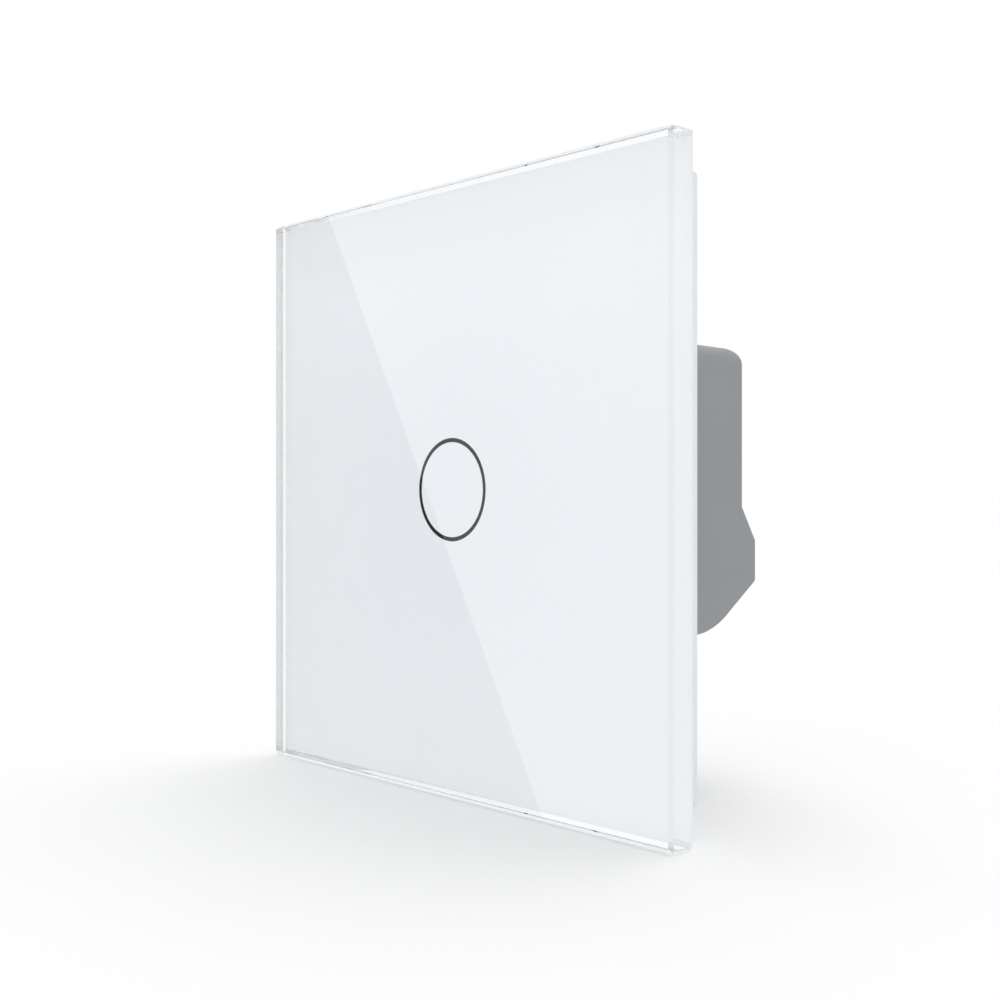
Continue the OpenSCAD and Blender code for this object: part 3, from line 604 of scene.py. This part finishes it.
def either_shader(tree, choice, no, yes):
    """Shows one shader or the other, as the choice says."""
    chosen = tree.nodes.new("ShaderNodeMixShader")
    tree.links.new(choice, chosen.inputs["Fac"])
    tree.links.new(no, chosen.inputs[1])
    tree.links.new(yes, chosen.inputs[2])
    return chosen.outputs["Shader"]


def staged(name, corners):
    """A flat four-cornered piece of the studio."""
    mesh = bpy.data.meshes.new(name)
    mesh.from_pydata(corners, [], [(0, 1, 2, 3)])
    piece = bpy.data.objects.new(name, mesh)
    bpy.context.scene.collection.objects.link(piece)
    return piece


floor_reach = 20
floor_gap = 0.15 * mm
floor_level = cad_low.z - floor_gap
floor_cloud = 0.4
floor = staged("floor", [
    (-floor_reach, -floor_reach, floor_level),
    (floor_reach, -floor_reach, floor_level),
    (floor_reach, floor_reach, floor_level),
    (-floor_reach, floor_reach, floor_level),
])
floor.visible_glossy = False
floor_paint, tree, surface = start_finish("floor_paint")
tint(
    tree,
    grain(tree, floor_cloud),
    surface.inputs["Base Color"],
    dark=(0.965, 0.965, 0.965),
    light=(0.975, 0.975, 0.975),
)
surface.inputs["Roughness"].default_value = 1
surface.inputs["Specular IOR Level"].default_value = 0
white_glow = tree.nodes.new("ShaderNodeEmission")
seen = either_shader(
    tree,
    to_the_eye(tree, "Is Glossy Ray", "Is Transmission Ray"),
    no=surface.outputs["BSDF"],
    yes=white_glow.outputs["Emission"],
)
tree.links.new(seen, tree.nodes["Material Output"].inputs["Surface"])
floor.data.materials.append(floor_paint)

white = (1, 1, 1, 1)
light_in_front = 0.53
light_behind = 0.9
world = bpy.data.worlds.new("white_surround")
bpy.context.scene.world = world
world.use_nodes = True
tree = world.node_tree
shown = tree.nodes["Background"]
shown.inputs["Color"].default_value = white
shown.inputs["Strength"].default_value = 1
lighting = tree.nodes.new("ShaderNodeBackground")
lighting.inputs["Color"].default_value = white
direction = tree.nodes.new("ShaderNodeTexCoord")
along = tree.nodes.new("ShaderNodeSeparateXYZ")
tree.links.new(direction.outputs["Generated"], along.inputs["Vector"])
vary(
    tree,
    along.outputs["Y"],
    lighting.inputs["Strength"],
    least=light_in_front,
    most=light_behind,
    low=-1,
    high=1,
)
seen = either_shader(
    tree,
    to_the_eye(tree, "Is Camera Ray", "Is Glossy Ray", "Is Transmission Ray"),
    no=lighting.outputs["Background"],
    yes=shown.outputs["Background"],
)
tree.links.new(seen, tree.nodes["World Output"].inputs["Surface"])

lamp_from = Vector((-0.14, 0.22, 1))
lamp = bpy.data.lights.new("soft_lamp", "SUN")
lamp.angle = math.radians(60)
lamp.energy = 1.05
lamp_stand = bpy.data.objects.new("soft_lamp", lamp)
lamp_stand.location = lamp_from
lamp_stand.rotation_euler = (-lamp_from).to_track_quat("-Z", "Y").to_euler()
bpy.context.scene.collection.objects.link(lamp_stand)

left_card_y = -0.5
left_card_edge = -0.621
left_card_lean = -0.571
left_card_reach = 2
left_card_width = 0.9
left_card_foot = left_card_edge - left_card_lean * left_card_reach
left_card_head = left_card_edge + left_card_lean * left_card_reach
left_card = staged("left_card", [
    (left_card_foot, left_card_y, -left_card_reach),
    (left_card_head, left_card_y, left_card_reach),
    (left_card_head - left_card_width, left_card_y, left_card_reach),
    (left_card_foot - left_card_width, left_card_y, -left_card_reach),
])
back_card_x = 0.55
back_card_y = -0.45
back_card_half = 0.04
back_card_reach = 0.25
back_card = staged("back_card", [
    (back_card_x - back_card_half, back_card_y - back_card_half, -back_card_reach),
    (back_card_x + back_card_half, back_card_y + back_card_half, -back_card_reach),
    (back_card_x + back_card_half, back_card_y + back_card_half, back_card_reach),
    (back_card_x - back_card_half, back_card_y - back_card_half, back_card_reach),
])
card_paint, tree, surface = start_finish("card_paint")
surface.inputs["Base Color"].default_value = (0, 0, 0, 1)
surface.inputs["Specular IOR Level"].default_value = 0
for card in (left_card, back_card):
    card.visible_camera = False
    card.visible_diffuse = False
    card.visible_transmission = False
    card.visible_shadow = False
    card.data.materials.append(card_paint)


# Camera: level with the panel's middle and off to its right, as the photograph was taken.
# Its place, turn and lens were worked out from the edges of the 80 mm panel.
camera_place = Vector((141.57, -123.15, -0.40)) * mm
camera_turn = math.radians(48.49)
camera = bpy.data.cameras.new("camera")
camera.sensor_width = 36
camera.lens = 50.2
camera.shift_y = -0.0073
camera.clip_start = mm
camera_stand = bpy.data.objects.new("camera", camera)
camera_stand.location = camera_place
camera_stand.rotation_euler = (math.radians(90), 0, camera_turn)
bpy.context.scene.collection.objects.link(camera_stand)
bpy.context.scene.camera = camera_stand
bpy.context.scene.view_settings.view_transform = "Standard"

# Light off the ink passes the polished glass unblurred, or the print behind it goes grey. It is
# followed eight times from the ink to the glass and back, or the middle of the face goes dull.
bpy.context.scene.cycles.blur_glossy = 0
bpy.context.scene.cycles.diffuse_bounces = 8
